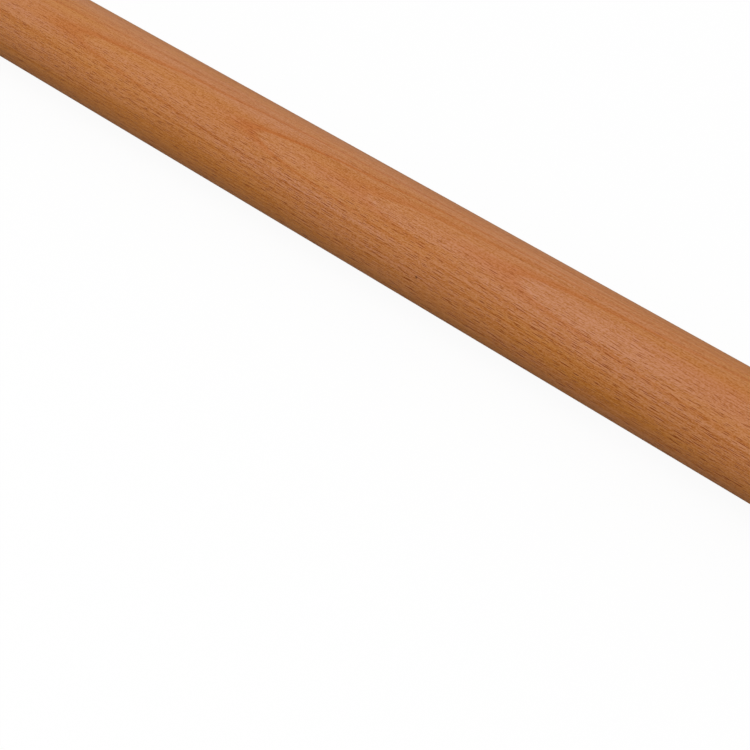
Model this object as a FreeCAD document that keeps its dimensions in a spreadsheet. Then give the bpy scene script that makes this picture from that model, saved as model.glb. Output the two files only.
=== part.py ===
"""A length of round beech stair handrail, lying along X with its underside on the floor at Z = 0.

The rail is one piece of timber: a full round section, moulded along its whole length,
docked square at both ends, with the sharp arris of each saw cut sanded to a small radius.
Lengths are in millimetres. The origin is on the floor, under the middle of the rail.
"""

import FreeCAD
import Part
import os

import Sketcher

PARTS_FOLDER = "parts"
FAILED_STATES = ("Invalid", "Error")

doc = FreeCAD.newDocument("stair_handrail")


# Driving dimensions

SIZES = {
    "rail_diameter": 40,  # outside of the round section, which brackets and end caps fit
    "rail_length": 2400,  # the length the rail is sold in, from saw cut to saw cut
    "arris_radius": 1,  # rounding sanded onto the rim of each saw cut
}


def add_sizes_sheet():
    """A spreadsheet with one row for each driving dimension: its name, then its value."""
    sheet = doc.addObject("Spreadsheet::Sheet", "Sizes")
    for row, (alias, value) in enumerate(SIZES.items(), start=1):
        sheet.set(f"A{row}", alias)
        sheet.set(f"B{row}", str(value))
        sheet.setAlias(f"B{row}", alias)
    doc.recompute()
    return sheet


sheet = add_sizes_sheet()


# The rail

def origin_plane(body, role):
    """The origin plane of a body with that role, such as YZ_Plane."""
    return next(plane for plane in body.Origin.OriginFeatures if plane.Role == role)


def add_round_section(body):
    """The rail's section across its length: a circle that touches the floor line at the origin."""
    section = body.newObject("Sketcher::SketchObject", "RoundSection")
    section.AttachmentSupport = [(origin_plane(body, "YZ_Plane"), "")]
    section.MapMode = "FlatFace"
    radius = sheet.rail_diameter / 2
    centre = FreeCAD.Vector(0, radius, 0)
    circle = section.addGeometry(Part.Circle(centre, FreeCAD.Vector(0, 0, 1), radius))

    # In a sketch, -1 is the horizontal axis and -2 the vertical one; point 1 of -1 is the
    # origin, and point 3 of a circle is its centre.
    section.addConstraint(Sketcher.Constraint("PointOnObject", circle, 3, -2))
    height = section.addConstraint(Sketcher.Constraint("DistanceY", -1, 1, circle, 3, radius))
    width = section.addConstraint(Sketcher.Constraint("Diameter", circle, sheet.rail_diameter))
    section.renameConstraint(height, "axis_height")
    section.renameConstraint(width, "section_diameter")
    section.setExpression("Constraints.axis_height", "Sizes.rail_diameter / 2")
    section.setExpression("Constraints.section_diameter", "Sizes.rail_diameter")
    return section


def add_moulded_length(body, section):
    """The section drawn out to the rail's length, half of it to each side of the origin."""
    length = body.newObject("PartDesign::Pad", "MouldedLength")
    length.Profile = section
    length.SideType = "Symmetric"
    length.setExpression("Length", "Sizes.rail_length")
    return length


def add_sanded_arrises(body, length):
    """A small radius on the round rim of each end. The seam line along the rail is left alone."""
    rims = [
        f"Edge{number}"
        for number, edge in enumerate(length.Shape.Edges, start=1)
        if isinstance(edge.Curve, Part.Circle)
    ]
    arrises = body.newObject("PartDesign::Fillet", "SandedArrises")
    arrises.Base = (length, rims)
    arrises.setExpression("Radius", "Sizes.arris_radius")
    return arrises


def add_handrail():
    """The whole rail, one solid."""
    body = doc.addObject("PartDesign::Body", "Handrail")
    body.Label = "handrail"
    section = add_round_section(body)
    length = add_moulded_length(body, section)
    doc.recompute()
    add_sanded_arrises(body, length)
    return body


# Checks and files

def check_document(pieces):
    """Stops if a feature failed to rebuild, or if a piece is empty or isn't a valid solid."""
    for feature in doc.Objects:
        if any(state in feature.State for state in FAILED_STATES):
            raise RuntimeError(f"{feature.Label} failed: {feature.State}")
    for piece in pieces:
        if piece.Shape.isNull() or not piece.Shape.isValid() or not piece.Shape.Solids:
            raise RuntimeError(f"{piece.Label} is not a valid solid")


def write_pieces(pieces):
    """Each piece to its own file, named by its label."""
    os.makedirs(PARTS_FOLDER, exist_ok=True)
    for piece in pieces:
        piece.Shape.exportStep(f"{PARTS_FOLDER}/{piece.Label}.step")
        box = piece.Shape.optimalBoundingBox(False)
        print(f"{piece.Label}: {box.XLength:.1f} x {box.YLength:.1f} x {box.ZLength:.1f} mm,"
              f" lowest at {box.ZMin:.3f}, {piece.Shape.Volume / 1000:.1f} cm3")


pieces = [add_handrail()]
doc.recompute()
check_document(pieces)
write_pieces(pieces)
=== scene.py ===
# %% [markdown]
# # A round beech handrail, one stock length
# The object is a plain length of stair handrail: a 40 mm round of beech, 2.4 m long, lacquered to a
# satin sheen. A rail like this is moulded from one board, sanded, lacquered and cut to length, so it
# has no joints and one body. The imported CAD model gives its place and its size. This lesson dresses it:
# a smooth rail with eased, sawn ends, and a beech that grows through the whole length, so that every
# cut through it shows the grain it should.

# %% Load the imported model
import math

import bmesh
import bpy
from mathutils import Matrix, Vector


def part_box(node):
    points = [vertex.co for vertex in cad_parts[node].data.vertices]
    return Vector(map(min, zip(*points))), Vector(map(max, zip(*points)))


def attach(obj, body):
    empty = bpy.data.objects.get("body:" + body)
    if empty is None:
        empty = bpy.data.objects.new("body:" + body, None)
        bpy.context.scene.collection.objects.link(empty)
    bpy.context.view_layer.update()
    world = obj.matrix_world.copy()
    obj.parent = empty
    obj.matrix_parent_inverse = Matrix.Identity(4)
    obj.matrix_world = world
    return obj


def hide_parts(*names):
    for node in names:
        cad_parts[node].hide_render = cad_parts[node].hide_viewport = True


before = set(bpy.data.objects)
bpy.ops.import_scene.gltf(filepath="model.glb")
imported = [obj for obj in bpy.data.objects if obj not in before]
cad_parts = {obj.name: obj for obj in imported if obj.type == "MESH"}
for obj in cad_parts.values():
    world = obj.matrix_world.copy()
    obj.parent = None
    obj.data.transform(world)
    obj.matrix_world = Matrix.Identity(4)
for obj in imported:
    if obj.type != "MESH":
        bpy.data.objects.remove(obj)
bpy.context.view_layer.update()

# %% [markdown]
# ## The rail's own sizes
# Every later step measures from the rail itself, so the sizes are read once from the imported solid. The
# solid's mesh has flat facets, so its height is a hair under the true diameter. Its width is exact.

# %% Read the rail's sizes
MM = 0.001
rail_low, rail_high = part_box("handrail")
RAIL_LENGTH = rail_high.x - rail_low.x
RAIL_RADIUS = (rail_high.y - rail_low.y) / 2
RAIL_AXIS_HEIGHT = RAIL_RADIUS
print(f"rail: {RAIL_LENGTH / MM:.1f} mm long, {2 * RAIL_RADIUS / MM:.2f} mm round")

# %% [markdown]
# ## The camera, from the two edges of the rail
# The photograph shows only the rail's two outlines, crossing the frame and drawing together towards the
# far end. Two outlines of a round bar are enough: each one and the lens make a plane that touches the
# bar, the planes meet along the bar's direction, and the angle between them gives its distance. The
# camera is taken to be held level. The places of the outlines at the frame's borders are pixels of the
# square frame, from its top left corner.

# %% Measure the outlines in the frame
FRAME_SIDE = 750
LENS_MM = 85
SENSOR_MM = 36
CAMERA_REACH = 100
FOCAL_PIXELS = LENS_MM / SENSOR_MM * FRAME_SIDE
UPPER_OUTLINE = ((90.1, 0.0), (750.0, 366.6))
LOWER_OUTLINE = ((0.0, 55.9), (750.0, 504.2))


def sight_line(pixel):
    """Direction from the lens through a pixel, in the camera's axes: x right, y up, z backwards."""
    middle = FRAME_SIDE / 2
    return Vector((pixel[0] - middle, middle - pixel[1], -FOCAL_PIXELS)).normalized()


def touching_plane(outline, inner_pixel):
    """Normal of the plane through the lens and an outline, turned towards the rail's side."""
    normal = sight_line(outline[0]).cross(sight_line(outline[1])).normalized()
    if normal.dot(sight_line(inner_pixel)) < 0:
        normal.negate()
    return normal


borders = UPPER_OUTLINE + LOWER_OUTLINE
inner_pixel = [sum(pixel[axis] for pixel in borders) / len(borders) for axis in (0, 1)]
upper_plane = touching_plane(UPPER_OUTLINE, inner_pixel)
lower_plane = touching_plane(LOWER_OUTLINE, inner_pixel)
half_angle = (math.pi - upper_plane.angle(lower_plane)) / 2
lens_to_axis = RAIL_RADIUS / math.sin(half_angle)
print(f"the rail is {math.degrees(2 * half_angle):.2f} degrees thick, {lens_to_axis:.3f} m from the lens")

# %% Stand the camera where those outlines are seen
rail_run = upper_plane.cross(lower_plane).normalized()
if rail_run.z < 0:
    rail_run.negate()
rail_up = rail_run.cross(Vector((1, 0, 0))).normalized()
if rail_up.y < 0:
    rail_up.negate()
rail_side = rail_up.cross(rail_run)
camera_turn = Matrix((rail_run, rail_side, rail_up))
to_axis = upper_plane + lower_plane
to_axis -= to_axis.dot(rail_run) * rail_run
to_axis = to_axis.normalized() * lens_to_axis

# Which stretch of the rail the photograph shows isn't known.
# Its middle is put in the frame's middle column.
camera_along = to_axis.x / rail_run.x
camera_place = Vector((camera_along, 0, RAIL_AXIS_HEIGHT)) - camera_turn @ to_axis
print("camera at", tuple(round(v, 4) for v in camera_place))

# %% Add the camera
bpy.ops.object.select_all(action="DESELECT")
bpy.ops.object.camera_add(location=camera_place, rotation=camera_turn.to_euler())
camera = bpy.context.object
camera.name = "photo_camera"
camera.data.lens = LENS_MM
camera.data.sensor_width = SENSOR_MM
camera.data.clip_end = CAMERA_REACH
bpy.context.scene.camera = camera
print(f"lens {LENS_MM} mm, one pixel covers {lens_to_axis / FOCAL_PIXELS / MM:.2f} mm of the rail")

# %% [markdown]
# ## One function for nodes, one for colours
# A material is a small machine of nodes. One helper adds a node, sets it and links what feeds it, so
# each line of a material reads as one step. Colours are written as they look on a screen, in sRGB hex,
# and turned to the linear light that the renderer works in.

# %% Node and colour helpers
# The Mix node has a pair of sockets for each kind of data. These are its colour pair and its colour result.
MIX_FROM = 6
MIX_TO = 7
MIX_COLOUR = 2


def add_node(tree, kind, feeds=None, **settings):
    """Adds one node. A feed is a value, a socket, or a node, whose first output is then used."""
    node = tree.nodes.new(kind)
    for name, value in settings.items():
        setattr(node, name, value)
    for socket, value in (feeds or {}).items():
        if isinstance(value, bpy.types.Node):
            value = value.outputs[0]
        if isinstance(value, bpy.types.NodeSocket):
            tree.links.new(value, node.inputs[socket])
        else:
            node.inputs[socket].default_value = value
    return node


def linear(hex_colour):
    """Turns an sRGB hex colour such as '#BD7A42' to linear RGBA."""
    shades = [int(hex_colour[i:i + 2], 16) / 255 for i in (1, 3, 5)]
    light = [s / 12.92 if s <= 0.04045 else ((s + 0.055) / 1.055) ** 2.4 for s in shades]
    return (*light, 1.0)


print("mid beech in linear light:", tuple(round(v, 3) for v in linear("#BD7A42")))

# %% [markdown]
# ## A dome of studio light
# The photograph is a catalogue shot on a white ground, in an even light that comes from all round. A
# plain dome does that. A white tent of lamps could be built instead, but it would light the rail no
# differently. The dome shows as white to the camera and in reflections, and lights the rail a little
# less brightly than that.

# %% The dome
DOME_LIGHT = 0.76
scene = bpy.context.scene
scene.view_settings.view_transform = "Standard"

world = bpy.data.worlds.new("studio_dome")
scene.world = world
world.use_nodes = True
tree = world.node_tree
tree.nodes.clear()
sight = add_node(tree, "ShaderNodeLightPath").outputs
seen = add_node(tree, "ShaderNodeMath", {
    0: sight["Is Camera Ray"], 1: sight["Is Transmission Ray"]}, operation="ADD")
seen = add_node(tree, "ShaderNodeMath", {0: seen, 1: sight["Is Glossy Ray"]}, operation="MAXIMUM")
strength = add_node(tree, "ShaderNodeMapRange", {"Value": seen, "To Min": DOME_LIGHT, "To Max": 1.0})
dome = add_node(tree, "ShaderNodeBackground", {"Color": linear("#FFFFFF"), "Strength": strength})
add_node(tree, "ShaderNodeOutputWorld", {"Surface": dome})
print(f"dome: white to the eye, {DOME_LIGHT} as a light")

# %% [markdown]
# ## The floor
# The ground of the photograph is pure white. A floor of white paper alone would come out as a pale
# grey, so most of what the camera sees of it is plain white, and the rest is lit paper, which keeps the
# rail's soft shadow. To the light that goes on to the rail it is a grey floor, because the rail's
# underside is in deep shade.

# %% White paper that keeps a shadow
FLOOR_SIDE = 60
FLOOR_WHITE_SHARE = 0.94
FLOOR_GLOSS_SHARE = 0.02
FLOOR_GREY = 0.28
FLOOR_WHITE = 0.95
bpy.ops.object.select_all(action="DESELECT")
bpy.ops.mesh.primitive_plane_add(size=FLOOR_SIDE, location=(0, 0, 0))
floor = bpy.context.object
floor.name = "studio_floor"
paper = bpy.data.materials.new("white_studio_paper")
paper.use_nodes = True
tree = paper.node_tree
tree.nodes.clear()
sight = add_node(tree, "ShaderNodeLightPath").outputs
seen = add_node(tree, "ShaderNodeMath", {
    0: sight["Is Camera Ray"], 1: sight["Is Transmission Ray"]}, operation="ADD")
share = add_node(tree, "ShaderNodeMath", {0: seen, 1: FLOOR_WHITE_SHARE}, operation="MULTIPLY")
share = add_node(tree, "ShaderNodeMath", {
    0: sight["Is Glossy Ray"], 1: FLOOR_GLOSS_SHARE, 2: share}, operation="MULTIPLY_ADD")
tint = add_node(tree, "ShaderNodeMapRange", {"Value": seen, "To Min": FLOOR_GREY, "To Max": FLOOR_WHITE})
matt = add_node(tree, "ShaderNodeBsdfDiffuse", {"Color": tint})
white = add_node(tree, "ShaderNodeEmission", {"Color": linear("#FFFFFF"), "Strength": 1.0})
ground = add_node(tree, "ShaderNodeMixShader", {0: share, 1: matt, 2: white})
add_node(tree, "ShaderNodeOutputMaterial", {"Surface": ground})
floor.data.materials.append(paper)
print(f"floor of {FLOOR_SIDE} m, {FLOOR_WHITE_SHARE:.0%} plain white to the camera")

# %% [markdown]
# ## Two light panels
# The rail has a soft pale band along its upper flank and stays warm well down its lower flank. One
# broad panel overhead gives the band. A long low panel in front gives the flank its warmth. Small lamps
# would draw hard streaks on the lacquer, so both panels are wide, and the low one is kept out of
# reflections, where it would be a second band.

# %% The panel overhead
PANEL_PLACE = Vector((-0.30, -0.30, 1.45))
PANEL_SIZE = (1.0, 0.9)
PANEL_WATTS = 5.8


def hang_panel(name, place, size, watts):
    """Adds a rectangular light panel that faces the rail's middle and isn't seen itself."""
    bpy.ops.object.select_all(action="DESELECT")
    bpy.ops.object.light_add(type="AREA", location=place)
    panel = bpy.context.object
    panel.name = name
    panel.data.shape = "RECTANGLE"
    panel.data.size, panel.data.size_y = size
    panel.data.energy = watts
    panel.rotation_euler = (-place).to_track_quat("-Z", "Y").to_euler()
    panel.visible_camera = False
    print(f"{name}: {size[0]} by {size[1]} m, {watts} W, {place.length:.2f} m away")
    return panel


hang_panel("overhead_panel", PANEL_PLACE, PANEL_SIZE, PANEL_WATTS)

# %% The low panel in front
FRONT_PLACE = Vector((0.0, -1.8, 0.35))
FRONT_SIZE = (3.0, 0.7)
FRONT_WATTS = 5.85
front = hang_panel("low_front_panel", FRONT_PLACE, FRONT_SIZE, FRONT_WATTS)
front.visible_glossy = False

# %% [markdown]
# ## The rail's blank
# On the bench the rail starts as a square stick, and a moulder turns it round in one pass. In Blender
# the quickest true round is a circle drawn out along its axis: one extrude gives the whole moulded
# length. The circle has enough corners that its facets stay under a hundredth of a millimetre.

# %% Draw out the round
CORNERS_AROUND = 128
bpy.ops.object.select_all(action="DESELECT")
bpy.ops.mesh.primitive_circle_add(
    vertices=CORNERS_AROUND, radius=RAIL_RADIUS, fill_type="NGON",
    location=(rail_low.x, 0, RAIL_AXIS_HEIGHT), rotation=(0, math.radians(90), 0))
rail = bpy.context.object
rail.name = rail.data.name = "round_beech_handrail"
bpy.ops.object.transform_apply(location=True, rotation=True, scale=True)
bpy.ops.object.mode_set(mode="EDIT")
bpy.ops.mesh.select_all(action="SELECT")
bpy.ops.mesh.extrude_region_move(TRANSFORM_OT_translate={"value": (RAIL_LENGTH, 0, 0)})
bpy.ops.mesh.select_all(action="SELECT")
bpy.ops.mesh.normals_make_consistent(inside=False)
print("blank:", len(bmesh.from_edit_mesh(rail.data).faces), "faces")

# %% [markdown]
# ## Eased arrises
# A saw leaves a sharp, splintery rim at each end, and a few strokes of sandpaper take it off. That
# eased arris is one millimetre round, as in the CAD model. A bevel on the two rims gives it.

# %% Ease the two rims
ARRIS = 1 * MM
ARRIS_STEPS = 5
ROUND_PROFILE = 0.5
HAIR = 0.01 * MM


def pick_edges(piece, wanted):
    """Selects, in edit mode, only the edges for which wanted(edge) is true, and counts them."""
    shell = bmesh.from_edit_mesh(piece.data)
    bpy.ops.mesh.select_all(action="DESELECT")
    picked = [edge for edge in shell.edges if wanted(edge)]
    for edge in picked:
        edge.select_set(True)
    shell.select_flush_mode()
    bmesh.update_edit_mesh(piece.data)
    return len(picked)


def at_one_end(edge):
    """True for an edge that lies in one of the two end faces."""
    a, b = (corner.co.x for corner in edge.verts)
    return abs(a - b) < HAIR and min(abs(a - rail_low.x), abs(a - rail_high.x)) < HAIR


bpy.ops.mesh.select_mode(type="EDGE")
rims = pick_edges(rail, at_one_end)
bpy.ops.mesh.bevel(offset=ARRIS, segments=ARRIS_STEPS, affect="EDGES", profile=ROUND_PROFILE)
print("eased", rims, "rim edges; faces now", len(bmesh.from_edit_mesh(rail.data).faces))

# %% [markdown]
# ## Sections along the length
# One quad as long as the rail would be a sliver. Cutting the long edges into sections gives the moulded
# length faces of a sensible shape, and a cross-section in the middle, where the map for baking is cut
# in two.

# %% Cut the moulded length into sections
SECTIONS = 100


def is_long(edge):
    """True for an edge that runs the length of the rail."""
    return abs(edge.verts[0].co.x - edge.verts[1].co.x) > 0.5 * RAIL_LENGTH


long_edges = pick_edges(rail, is_long)
bpy.ops.mesh.subdivide(number_cuts=SECTIONS - 1, quadcorner="INNERVERT")
print("cut", long_edges, "long edges; faces now", len(bmesh.from_edit_mesh(rail.data).faces))

# %% [markdown]
# ## The sawn ends
# The two ends are flat saw cuts across the grain. Their round outlines are filled with a grid of quads,
# because one face with 128 corners shades badly and would give the bake nothing to hold on to.

# %% Fill the ends with quads


def pick_end_face(piece, end_x):
    """Selects the one many-cornered face at an end."""
    shell = bmesh.from_edit_mesh(piece.data)
    bpy.ops.mesh.select_all(action="DESELECT")
    for face in shell.faces:
        if len(face.verts) > 4 and abs(face.calc_center_median().x - end_x) < HAIR:
            face.select_set(True)
    bmesh.update_edit_mesh(piece.data)


for end_x in (rail_low.x, rail_high.x):
    bpy.ops.mesh.select_mode(type="FACE")
    pick_end_face(rail, end_x)
    bpy.ops.mesh.delete(type="ONLY_FACE")
    bpy.ops.mesh.select_mode(type="EDGE")
    pick_edges(rail, lambda edge: at_one_end(edge) and abs(edge.verts[0].co.x - end_x) < HAIR)
    bpy.ops.mesh.fill_grid(span=CORNERS_AROUND // 4)
bpy.ops.mesh.select_all(action="SELECT")
bpy.ops.mesh.normals_make_consistent(inside=False)
shell = bmesh.from_edit_mesh(rail.data)
open_edges = sum(1 for edge in shell.edges if not edge.is_manifold)
print("open edges left:", open_edges, "faces:", len(shell.faces))
bpy.ops.object.mode_set(mode="OBJECT")

# %% Shade the rail smooth, its ends flat
SHARP_FROM = math.radians(30)
bpy.ops.object.shade_smooth_by_angle(angle=SHARP_FROM)
print("triangles:", sum(len(face.vertices) - 2 for face in rail.data.polygons))

# %% [markdown]
# ## A map for baking
# A long thin rail is hard on an automatic map: it would shrink to a hair. Here the moulded length is
# unrolled and cut in two halves that lie one above the other, and the two ends lie beside each other
# above them. The nodes never read this map, since the grain comes from the place in the wood.

# %% Unroll the rail
STRIP_HEIGHT = 0.422
STRIP_FOOTS = (0.004, 0.434)
STRIP_LEFT = 0.006
STRIP_WIDTH = 0.988
END_MIDDLES = (Vector((0.075, 0.930)), Vector((0.215, 0.930)))
END_HALF_WIDTH = 0.062
bake_map = rail.data.uv_layers.new(name="OFBake")


def turn_of(point):
    """Angle of a point round the rail's axis, as a share of a full turn from the underside."""
    return (math.atan2(point.y, RAIL_AXIS_HEIGHT - point.z) / math.tau) % 1.0


def end_spot(corner, end):
    """Place on the map of a corner of an end face or its arris, which is folded flat around the face."""
    end_x = (rail_low.x, rail_high.x)[end]
    out = Vector((corner.y, corner.z - RAIL_AXIS_HEIGHT))
    reach = (out.length + abs(corner.x - end_x)) / (RAIL_RADIUS + ARRIS)
    return END_MIDDLES[end] + out.normalized() * reach * END_HALF_WIDTH


def side_spot(corner, half, face_turn):
    """Place on the map of a corner of the moulded length, on the same side of the seam as its face."""
    turn = turn_of(corner)
    turn += round(face_turn - turn)
    along = (corner.x - (rail_low.x, 0.0)[half]) / (RAIL_LENGTH / 2)
    return Vector((STRIP_LEFT + STRIP_WIDTH * along, STRIP_FOOTS[half] + STRIP_HEIGHT * turn))


def near_end(face):
    """True for a face of a sawn end or of its eased arris."""
    return min(abs(face.center.x - rail_low.x), abs(face.center.x - rail_high.x)) < ARRIS


for face in rail.data.polygons:
    half = 0 if face.center.x < 0 else 1
    for loop in face.loop_indices:
        corner = rail.data.vertices[rail.data.loops[loop].vertex_index].co
        if near_end(face):
            bake_map.data[loop].uv = end_spot(corner, half)
        else:
            bake_map.data[loop].uv = side_spot(corner, half, turn_of(face.center))
print("bake map:", len(bake_map.data), "corners placed")

# %% [markdown]
# ## Where in the tree the rail was cut
# The grain could be painted on the rail's skin, but then the ends and the sides wouldn't agree. Here it
# is found in the wood instead: each point of the rail is given its place in the board, and from that
# its place in the tree. The board was sawn flat, and the rail lies turned a little in it, so its
# flattest grain faces up and forward.

# %% The rail's place in the board
FLAT_SAWN_TURN = math.radians(23)


def shrink(size):
    """Scale that makes a texture's unit cell as large as the given size in metres, on each axis."""
    return Vector((1 / size.x, 1 / size.y, 1 / size.z))


def lie_in_board(tree):
    """Adds the nodes for a point's place along the board, to its side, up in it, and round the rail."""
    place = add_node(tree, "ShaderNodeTexCoord").outputs["Object"]
    turned = add_node(tree, "ShaderNodeMapping", {
        "Vector": place, "Location": (0, 0, RAIL_AXIS_HEIGHT), "Rotation": (FLAT_SAWN_TURN, 0, 0),
    }, vector_type="TEXTURE")
    along, side, depth = add_node(tree, "ShaderNodeSeparateXYZ", {0: turned}).outputs
    girth = add_node(tree, "ShaderNodeMath", {0: side, 1: depth}, operation="ARCTAN2")
    girth = add_node(tree, "ShaderNodeMath", {0: girth, 1: RAIL_RADIUS}, operation="MULTIPLY")
    return {"place": place, "turned": turned, "along": along, "side": side, "depth": depth, "girth": girth}


print(f"the board lies {math.degrees(FLAT_SAWN_TURN):.0f} degrees turned in the rail")

# %% The pith and its sway
PITH_DEPTH = 70 * MM
SWAY_LENGTH = 3.0
SWAY_DEPTH = 9.3 * MM
SWAY_SIDE = 11.7 * MM


def find_pith(tree, wood):
    """Adds the nodes for a point's distance and bearing from the pith, whose line sways along the board."""
    sway = add_node(tree, "ShaderNodeMath", {
        0: wood["along"], 1: math.tau / SWAY_LENGTH}, operation="MULTIPLY")
    sway = add_node(tree, "ShaderNodeMath", {0: sway}, operation="SINE")
    to_pith = add_node(tree, "ShaderNodeMath", {
        0: sway, 1: SWAY_DEPTH, 2: PITH_DEPTH}, operation="MULTIPLY_ADD")
    outward = add_node(tree, "ShaderNodeMath", {0: wood["depth"], 1: to_pith}, operation="ADD")
    sideways = add_node(tree, "ShaderNodeMath", {
        0: sway, 1: SWAY_SIDE, 2: wood["side"]}, operation="MULTIPLY_ADD")
    section = add_node(tree, "ShaderNodeCombineXYZ", {"Y": sideways, "Z": outward})
    radius = add_node(tree, "ShaderNodeVectorMath", {0: section}, operation="LENGTH")
    wood["radius"] = radius.outputs["Value"]
    wood["bearing"] = add_node(tree, "ShaderNodeMath", {0: sideways, 1: outward}, operation="ARCTAN2")
    wood["sway"] = sway
    return wood


print(f"the pith lies {PITH_DEPTH / MM:.0f} mm under the rail's axis and sways {SWAY_DEPTH / MM:.0f} mm")

# %% [markdown]
# ## Growth rings
# The rings are cylinders round the tree's pith. Where the round cuts them nearly flat they draw long
# arches, and down the flanks they close up to straight lines. The pattern is made as it grew: a point's
# distance from the pith says which year it belongs to, and the rest of the division says how far that
# year had gone. Beech thickens slowly all summer and darkens mostly in the last weeks, and then a new
# pale spring begins at once. Years differ, so each has its own strength, and every few years growth is
# quicker, which spreads the arches. A strong year darkens late and fast, and draws a crisp arch. A weak
# one darkens early and slowly, and draws a soft one.

# %% Years and seasons
RING_WIDTH = 1.45 * MM
RING_START = 0.78
CYCLE_WIDTH = 4.9 * MM
CYCLE_START = 88.6 * MM
CYCLE_YEARS = 0.15
UNREST_SIZE = Vector((45, 9, 9)) * MM
UNREST_REACH = 0.5 * MM
UNREST_DETAIL = 2
UNREST_ROUGHNESS = 0.55
NOISE_MEAN = 0.5


def count_years(tree, wood):
    """Adds the nodes that count a point's years from the pith, on rings that waver and grow in cycles."""
    cells = add_node(tree, "ShaderNodeVectorMath", {
        0: wood["turned"], 1: shrink(UNREST_SIZE)}, operation="MULTIPLY")
    unrest = add_node(tree, "ShaderNodeTexNoise", {
        "Vector": cells, "Scale": 1, "Detail": UNREST_DETAIL, "Roughness": UNREST_ROUGHNESS})
    unrest = add_node(tree, "ShaderNodeMath", {0: unrest, 1: NOISE_MEAN}, operation="SUBTRACT")
    wavy = add_node(tree, "ShaderNodeMath", {
        0: unrest, 1: UNREST_REACH, 2: wood["radius"]}, operation="MULTIPLY_ADD")
    years = add_node(tree, "ShaderNodeMath", {
        0: wavy, 1: 1 / RING_WIDTH, 2: RING_START}, operation="MULTIPLY_ADD")
    cycle = add_node(tree, "ShaderNodeMath", {0: wavy, 1: CYCLE_START}, operation="SUBTRACT")
    cycle = add_node(tree, "ShaderNodeMath", {0: cycle, 1: math.tau / CYCLE_WIDTH}, operation="MULTIPLY")
    cycle = add_node(tree, "ShaderNodeMath", {0: cycle}, operation="COSINE")
    return add_node(tree, "ShaderNodeMath", {0: cycle, 1: -CYCLE_YEARS, 2: years}, operation="MULTIPLY_ADD")


print(f"{2 * RAIL_RADIUS / RING_WIDTH:.0f} rings cross the rail")

# %% Latewood, broad where it is cut flat and a line where it is cut steep
SUMMER = (0.30, 0.75)
SUMMER_TONE = 0.2
AUTUMN = (0.72, 0.93)
SLOW_AUTUMN = 0.2
SLOW_YEARS = (0.4, 0.8)
WEATHER_SEED = 160028
FAINTEST_YEAR = 0.2
FLAT_CUT = (-10 * MM, 2 * MM)
FLAT_LEAST = 0.35
STEEP_CUT = (-3 * MM, -11 * MM)


def grow_rings(tree, wood):
    """Adds the nodes for the latewood's strength at a point: as a ring, a flat band and a steep line."""
    years = count_years(tree, wood)
    year = add_node(tree, "ShaderNodeMath", {0: years}, operation="FLOOR")
    year = add_node(tree, "ShaderNodeMath", {0: year, 1: WEATHER_SEED}, operation="ADD")
    weather = add_node(tree, "ShaderNodeTexWhiteNoise", {"W": year}, noise_dimensions="1D")
    onset = add_node(tree, "ShaderNodeMapRange", {
        "Value": weather, "From Min": SLOW_YEARS[0], "From Max": SLOW_YEARS[1],
        "To Min": SLOW_AUTUMN, "To Max": AUTUMN[0]})
    season = add_node(tree, "ShaderNodeMath", {0: years}, operation="FRACT")
    summer = add_node(tree, "ShaderNodeMapRange", {
        "Value": season, "From Min": SUMMER[0], "From Max": SUMMER[1], "To Max": SUMMER_TONE,
    }, interpolation_type="SMOOTHSTEP")
    autumn = add_node(tree, "ShaderNodeMapRange", {
        "Value": season, "From Min": onset, "From Max": AUTUMN[1], "To Max": 1 - SUMMER_TONE,
    }, interpolation_type="SMOOTHSTEP")
    winter = add_node(tree, "ShaderNodeMapRange", {
        "Value": season, "From Min": AUTUMN[1], "From Max": 1.0, "To Min": 1.0, "To Max": 0.0})
    late = add_node(tree, "ShaderNodeMath", {0: summer, 1: autumn}, operation="ADD")
    late = add_node(tree, "ShaderNodeMath", {0: late, 1: winter}, operation="MULTIPLY")
    weather = add_node(tree, "ShaderNodeMapRange", {"Value": weather, "To Min": FAINTEST_YEAR})
    wood["ring"] = add_node(tree, "ShaderNodeMath", {0: late, 1: weather}, operation="MULTIPLY")
    flat = add_node(tree, "ShaderNodeMapRange", {
        "Value": wood["side"], "From Min": FLAT_CUT[0], "From Max": FLAT_CUT[1], "To Min": FLAT_LEAST})
    steep = add_node(tree, "ShaderNodeMapRange", {
        "Value": wood["side"], "From Min": STEEP_CUT[0], "From Max": STEEP_CUT[1]})
    wood["band"] = add_node(tree, "ShaderNodeMath", {0: wood["ring"], 1: flat}, operation="MULTIPLY")
    wood["line"] = add_node(tree, "ShaderNodeMath", {0: wood["ring"], 1: steep}, operation="MULTIPLY")
    return wood


late_width = (1 - AUTUMN[0]) * RING_WIDTH
print(f"a strong year's latewood is {late_width / MM:.2f} mm wide, of a {RING_WIDTH / MM} mm ring")

# %% [markdown]
# ## Rays and vessel lines
# Two kinds of dash tell beech from other woods. The rays are thin sheets that run from the pith
# outwards, and on the rail's face their edges show as brown dashes. The vessels are fine tubes that the
# surface cuts open along the grain. Both are scattered by a Voronoi texture: each of its cells is a
# room that holds one dash, and the distance from the room's middle, measured in the dash's own sizes,
# says how far inside the dash a point is. Beside a dash the wood is a touch paler, which makes the dash
# look crisp. Rays belong to the tree, so their rooms are laid out along, round and away from the pith.
# Where the back of the round runs along the sheets, a whole one can lie in the surface, and is only a
# faint patch there. Vessel lines belong to the cut surface, so theirs are laid out on the unrolled
# skin. Real vessels are under 0.1 mm wide and real rays little more. Here they are drawn coarser, as
# wide as they need to be to show at this distance.

# %% A crowd of dashes
FAINTEST_DASH = 0.2
DASH_HEART = 0.3
RIM_WIDTH = 0.55 * MM
RIM_TONE = 0.5


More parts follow.
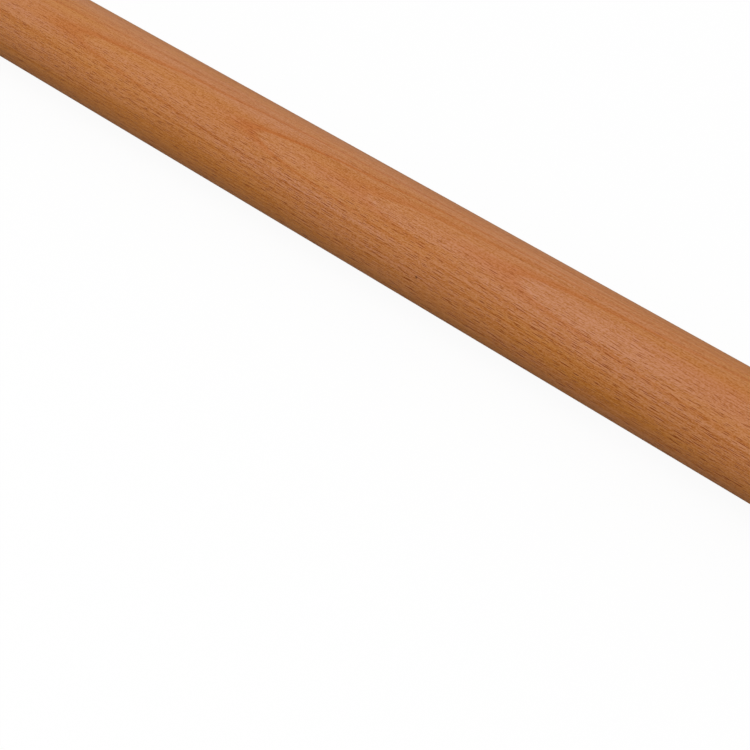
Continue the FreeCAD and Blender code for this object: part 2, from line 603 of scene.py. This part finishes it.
def scatter_dashes(tree, field, room, core, dimensions):
    """Adds the nodes for a crowd of dashes along the grain, each in its room, some bold, some faint."""
    rooms = add_node(tree, "ShaderNodeVectorMath", {0: field, 1: shrink(room)}, operation="MULTIPLY")
    cells = add_node(tree, "ShaderNodeTexVoronoi", {
        "Vector": rooms, "Scale": 1, "Randomness": 1}, feature="F1", voronoi_dimensions=dimensions)
    offset = add_node(tree, "ShaderNodeVectorMath", {
        0: rooms, 1: cells.outputs["Position"]}, operation="SUBTRACT")
    rim = Vector((core.x, RIM_WIDTH, core.z))
    tones = []
    for size, tone in ((core, 1.0), (rim, RIM_TONE * core.y / rim.y)):
        gauge = add_node(tree, "ShaderNodeVectorMath", {
            0: offset, 1: room * shrink(size)}, operation="MULTIPLY")
        gauge = add_node(tree, "ShaderNodeVectorMath", {0: gauge}, operation="LENGTH").outputs["Value"]
        tones.append(add_node(tree, "ShaderNodeMapRange", {
            "Value": gauge, "From Min": 1.0, "From Max": DASH_HEART, "To Max": tone,
        }, interpolation_type="SMOOTHSTEP"))
    dash = add_node(tree, "ShaderNodeMath", {0: tones[0], 1: tones[1]}, operation="SUBTRACT")
    dice = add_node(tree, "ShaderNodeSeparateColor", {0: cells.outputs["Color"]})
    bold = add_node(tree, "ShaderNodeMapRange", {"Value": dice, "To Min": FAINTEST_DASH})
    return add_node(tree, "ShaderNodeMath", {0: dash, 1: bold}, operation="MULTIPLY")


print(f"the faintest dash has {FAINTEST_DASH:.0%} of the boldest one's strength")

# %% Rays from the pith, vessel lines on the skin
RAY_ROOM = Vector((9.1, 1.2, 14)) * MM
RAY_CORE = Vector((3.4, 0.20, 7)) * MM
VESSEL_ROOM = Vector((4.4, 1.0, 1)) * MM
VESSEL_CORE = Vector((1.9, 0.17, 1)) * MM
FLANK = (4 * MM, -20 * MM)
FLANK_TONES = (0.42, 1.55)
SHEET_FACE = (12 * MM, 18 * MM)
SHEET_TONE = 0.25


def grow_rays(tree, wood):
    """Adds the nodes for ray dashes and vessel lines, which are boldest down the front flank."""
    arc = add_node(tree, "ShaderNodeMath", {
        0: wood["bearing"], 1: PITH_DEPTH + RAIL_RADIUS}, operation="MULTIPLY")
    sheets = add_node(tree, "ShaderNodeCombineXYZ", {"X": wood["along"], "Y": arc, "Z": wood["radius"]})
    wood["sheet"] = scatter_dashes(tree, sheets, RAY_ROOM, RAY_CORE, "3D")
    skin = add_node(tree, "ShaderNodeCombineXYZ", {"X": wood["along"], "Y": wood["girth"]})
    vessel = scatter_dashes(tree, skin, VESSEL_ROOM, VESSEL_CORE, "2D")
    flank = add_node(tree, "ShaderNodeMapRange", {
        "Value": wood["side"], "From Min": FLANK[0], "From Max": FLANK[1],
        "To Min": FLANK_TONES[0], "To Max": FLANK_TONES[1]})
    edge_on = add_node(tree, "ShaderNodeMapRange", {
        "Value": wood["side"], "From Min": SHEET_FACE[0], "From Max": SHEET_FACE[1],
        "To Min": 1.0, "To Max": SHEET_TONE})
    ray = add_node(tree, "ShaderNodeMath", {0: wood["sheet"], 1: flank}, operation="MULTIPLY")
    wood["ray"] = add_node(tree, "ShaderNodeMath", {0: ray, 1: edge_on}, operation="MULTIPLY")
    wood["vessel"] = add_node(tree, "ShaderNodeMath", {0: vessel, 1: flank}, operation="MULTIPLY")
    return wood


print(f"rays are {2 * RAY_CORE.x / MM:.0f} mm long at most, vessel lines {2 * VESSEL_CORE.x / MM:.0f} mm")

# %% [markdown]
# ## Fibres and pores
# Between the dashes the wood isn't even. Fibres lie in long faint streaks, and pores make fine dark
# points. Both are soft and crowded, so a Noise texture stretched along the grain does for each. Real
# fibres are thinner than a hair and real pores under 0.1 mm wide. Here they too are drawn coarser, so
# that they show.

# %% Fibres and pores
FIBRE_SIZE = Vector((50, 0.6, 0.6)) * MM
PORE_SIZE = Vector((0.8, 0.30, 0.30)) * MM


def grow_fibres(tree, wood):
    """Adds the nodes for fibres and pores, as values round one half."""
    for grain, size in (("fibre", FIBRE_SIZE), ("pore", PORE_SIZE)):
        cells = add_node(tree, "ShaderNodeVectorMath", {
            0: wood["turned"], 1: shrink(size)}, operation="MULTIPLY")
        wood[grain] = add_node(tree, "ShaderNodeTexNoise", {"Vector": cells, "Scale": 1, "Detail": 0})
    return wood


def grow_beech(tree):
    """Adds all the nodes of the grain, and gives their results by name."""
    wood = find_pith(tree, lie_in_board(tree))
    return grow_fibres(tree, grow_rays(tree, grow_rings(tree, wood)))


print(f"fibres lie in streaks {FIBRE_SIZE.x / MM:.0f} mm long; pores are {PORE_SIZE.x / MM:.1f} mm long")

# %% [markdown]
# ## Lacquered beech
# Steamed beech is an even orange brown, with redder latewood and brown dashes. It is rosier in some
# stretches. Towards its upper front face, under the overhead panel, it is made rosier and paler as well:
# that share is a painted sheen. A satin lacquer lies over all of it. Its index is near 1.5, and it is
# flatted, so that a lamp shows as a broad pale band and not as a mirror image. Flatting also scatters
# some of the shine, so the specular level is under that of clear varnish.
# The dashes could be mixed in as a second colour, but that greys the wood. Dense wood holds more of the
# same pigment, so it is darker and deeper in colour at once: light that passes twice the pigment is
# dimmed twice over, which is a power of the pigment's colour, and the Gamma node is just that power.
# Each kind of grain adds its share to the density, and two soft limits keep the palest and the darkest
# wood within what beech shows.

# %% The ground colour of the wood, with a painted sheen on its upper face
EARLYWOOD = linear("#B87535")
EARLYWOOD_ROSY_AND_SHEEN = linear("#B9794D")
LATEWOOD = linear("#B16325")
ROSY_SIZE = Vector((120, 8, 8)) * MM
ROSY_DETAIL = 2
ROSY_SWAY = 0.18
# Painted sheen: how fast the wood turns rosier and paler towards its upper front face.
ROSY_SHEEN_ON_TOP = 20
ROSY_AND_SHEEN_FROM = 0.62
ROSY_AND_SHEEN_FULL = 1.02

lacquered = bpy.data.materials.new("satin_lacquered_beech")
lacquered.use_nodes = True
tree = lacquered.node_tree
tree.nodes.clear()
wood = grow_beech(tree)
patches = add_node(tree, "ShaderNodeVectorMath", {
    0: wood["turned"], 1: shrink(ROSY_SIZE)}, operation="MULTIPLY")
rosy_tone_and_sheen = add_node(tree, "ShaderNodeTexNoise", {"Vector": patches, "Scale": 1, "Detail": ROSY_DETAIL})
# The sway adds a rosy tone along the pith's line. The depth share is a painted sheen on the upper front
# face, under the overhead panel.
for place, share in ((wood["sway"], ROSY_SWAY), (wood["depth"], ROSY_SHEEN_ON_TOP)):
    rosy_tone_and_sheen = add_node(tree, "ShaderNodeMath", {0: place, 1: share, 2: rosy_tone_and_sheen}, operation="MULTIPLY_ADD")
rosy_tone_and_sheen = add_node(tree, "ShaderNodeMapRange", {"Value": rosy_tone_and_sheen, "From Min": ROSY_AND_SHEEN_FROM, "From Max": ROSY_AND_SHEEN_FULL})
ground = add_node(tree, "ShaderNodeMix", {
    0: rosy_tone_and_sheen, MIX_FROM: EARLYWOOD, MIX_TO: EARLYWOOD_ROSY_AND_SHEEN}, data_type="RGBA").outputs[MIX_COLOUR]
ground = add_node(tree, "ShaderNodeMix", {
    0: wood["band"], MIX_FROM: ground, MIX_TO: LATEWOOD}, data_type="RGBA").outputs[MIX_COLOUR]
print("ground of the beech:", len(tree.nodes), "nodes so far")

# %% The grain as a veil of pigment
PIGMENT = linear("#DCC074")
FIBRE_DENSITY = 0.9
PORE_DENSITY = 1.7
RAY_DENSITY = 3.4
VESSEL_DENSITY = 3.0
LINE_DENSITY = 0.45
PALEST = -0.25
DARKEST = 2.1
SOFT_LIMIT = 0.5
shares = {"fibre": -FIBRE_DENSITY, "pore": -PORE_DENSITY, "ray": RAY_DENSITY, "vessel": VESSEL_DENSITY,
          "line": LINE_DENSITY}
density = NOISE_MEAN * (FIBRE_DENSITY + PORE_DENSITY)
for grain, share in shares.items():
    density = add_node(tree, "ShaderNodeMath", {
        0: wood[grain], 1: share, 2: density}, operation="MULTIPLY_ADD")
density = add_node(tree, "ShaderNodeMath", {0: density, 1: PALEST, 2: SOFT_LIMIT}, operation="SMOOTH_MAX")
density = add_node(tree, "ShaderNodeMath", {0: density, 1: DARKEST, 2: SOFT_LIMIT}, operation="SMOOTH_MIN")
veil = add_node(tree, "ShaderNodeGamma", {"Color": PIGMENT, "Gamma": density})
colour = add_node(tree, "ShaderNodeVectorMath", {0: ground, 1: veil}, operation="MULTIPLY")
print("pigment veil of", ", ".join(shares))

# %% [markdown]
# ## A pin knot
# A small dark speck lies on the front flank, near the middle of the view: a pin knot, where a bud
# slept in the wood. It is one point with a soft rim, so its distance from each point of the rail is all
# that it needs.

# %% The pin knot
PIN_KNOT = Vector((36.9, -19.2, 25.5)) * MM
PIN_SIZE = 0.8 * MM
PIN_HEART = 0.3
PIN_TONE = 0.8
PIN_BROWN = linear("#5A2E12")
to_pin = add_node(tree, "ShaderNodeVectorMath", {0: wood["place"], 1: PIN_KNOT}, operation="DISTANCE")
pin = add_node(tree, "ShaderNodeMapRange", {
    "Value": to_pin.outputs["Value"], "From Min": PIN_SIZE, "From Max": PIN_HEART * PIN_SIZE,
    "To Max": PIN_TONE,
}, interpolation_type="SMOOTHSTEP")
colour = add_node(tree, "ShaderNodeMix", {
    0: pin, MIX_FROM: colour, MIX_TO: PIN_BROWN}, data_type="RGBA").outputs[MIX_COLOUR]
print(f"pin knot of {2 * PIN_SIZE / MM:.1f} mm")

# %% [markdown]
# ## Relief and sheen
# Lacquer sinks into rays and vessels as it dries, so under a low light the dashes are felt as a slight
# relief. It is far too shallow for the mesh, so a Bump node gives it. The shine is one even film, set
# on the shader itself.

# %% The lacquer film
LACQUER_IOR = 1.45
LACQUER_SPECULAR = 0.22
LACQUER_ROUGHNESS = 0.38
RELIEF_DEPTH = 0.05 * MM
height = add_node(tree, "ShaderNodeMath", {0: wood["fibre"], 1: wood["ray"]}, operation="SUBTRACT")
height = add_node(tree, "ShaderNodeMath", {0: height, 1: wood["vessel"]}, operation="SUBTRACT")
relief = add_node(tree, "ShaderNodeBump", {"Strength": 1.0, "Distance": RELIEF_DEPTH, "Height": height})
finish = add_node(tree, "ShaderNodeBsdfPrincipled", {
    "Base Color": colour, "Roughness": LACQUER_ROUGHNESS, "IOR": LACQUER_IOR,
    "Specular IOR Level": LACQUER_SPECULAR, "Normal": relief})
add_node(tree, "ShaderNodeOutputMaterial", {"Surface": finish})
print("lacquered beech:", len(tree.nodes), "nodes, roughness", LACQUER_ROUGHNESS)

# %% [markdown]
# ## Sawn end grain
# The rail is cut to length after lacquering, so its ends are bare: paler than the face and quite matt.
# The rings show there as brown arcs and the rays as pale lines that fan out from the pith. The pores
# are seen end on, as fine dark points, and the saw leaves shallow parallel marks. All of it comes from
# the same tree as the face.

# %% The bare ends
END_EARLYWOOD = linear("#DBA577")
END_LATEWOOD = linear("#B1773F")
END_RAY = linear("#ECC59B")
END_PORE = linear("#A06A3E")
END_PORE_FROM = 0.50
END_PORE_FULL = 0.22
END_PORE_TONE = 0.6
sawn = bpy.data.materials.new("bare_sawn_beech_end_grain")
sawn.use_nodes = True
tree = sawn.node_tree
tree.nodes.clear()
wood = grow_beech(tree)
colour = add_node(tree, "ShaderNodeMix", {
    0: wood["ring"], MIX_FROM: END_EARLYWOOD, MIX_TO: END_LATEWOOD}, data_type="RGBA").outputs[MIX_COLOUR]
points = add_node(tree, "ShaderNodeMapRange", {
    "Value": wood["pore"], "From Min": END_PORE_FROM, "From Max": END_PORE_FULL, "To Max": END_PORE_TONE})
colour = add_node(tree, "ShaderNodeMix", {
    0: points, MIX_FROM: colour, MIX_TO: END_PORE}, data_type="RGBA").outputs[MIX_COLOUR]
colour = add_node(tree, "ShaderNodeMix", {
    0: wood["sheet"], MIX_FROM: colour, MIX_TO: END_RAY}, data_type="RGBA").outputs[MIX_COLOUR]
print("end grain:", len(tree.nodes), "nodes so far")

# %% The marks of the saw
SAW_PITCH = 2.2 * MM
SAW_DEPTH = 0.08 * MM
SAW_GROOVE_SHADE = 0.16
SAW_UNREST = 1.5
SAW_DETAIL = 2
SAWN_ROUGHNESS = 0.8
SAWN_IOR = 1.5
# At a scale of 1, a Wave texture has this many bands in a metre.
WAVES_PER_UNIT = 20 / math.tau
saw_marks = add_node(tree, "ShaderNodeTexWave", {
    "Vector": wood["place"], "Scale": 1 / (SAW_PITCH * WAVES_PER_UNIT),
    "Distortion": SAW_UNREST, "Detail": SAW_DETAIL,
}, wave_type="BANDS", bands_direction="Z").outputs["Fac"]
# The low bands of the saw marks are darkened in the colour as well: painted shade in the grooves, beside
# the Bump relief.
shade = add_node(tree, "ShaderNodeMapRange", {"Value": saw_marks, "To Min": 1 - SAW_GROOVE_SHADE, "To Max": 1.0})
colour = add_node(tree, "ShaderNodeVectorMath", {0: colour, "Scale": shade}, operation="SCALE")
relief = add_node(tree, "ShaderNodeBump", {"Strength": 1.0, "Distance": SAW_DEPTH, "Height": saw_marks})
finish = add_node(tree, "ShaderNodeBsdfPrincipled", {
    "Base Color": colour, "Roughness": SAWN_ROUGHNESS, "IOR": SAWN_IOR, "Normal": relief})
add_node(tree, "ShaderNodeOutputMaterial", {"Surface": finish})
print(f"sawn end grain: {len(tree.nodes)} nodes, saw marks {SAW_PITCH / MM} mm apart")

# %% [markdown]
# ## Put the finishes on
# The moulded length is lacquered, and the end faces with their eased arrises are bare.

# %% Finishes by face
rail.data.materials.append(lacquered)
rail.data.materials.append(sawn)
for face in rail.data.polygons:
    face.material_index = 1 if near_end(face) else 0
print("bare faces:", sum(face.material_index for face in rail.data.polygons))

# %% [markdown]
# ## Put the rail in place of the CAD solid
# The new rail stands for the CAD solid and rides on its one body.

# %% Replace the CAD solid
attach(rail, "root")
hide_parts("handrail")
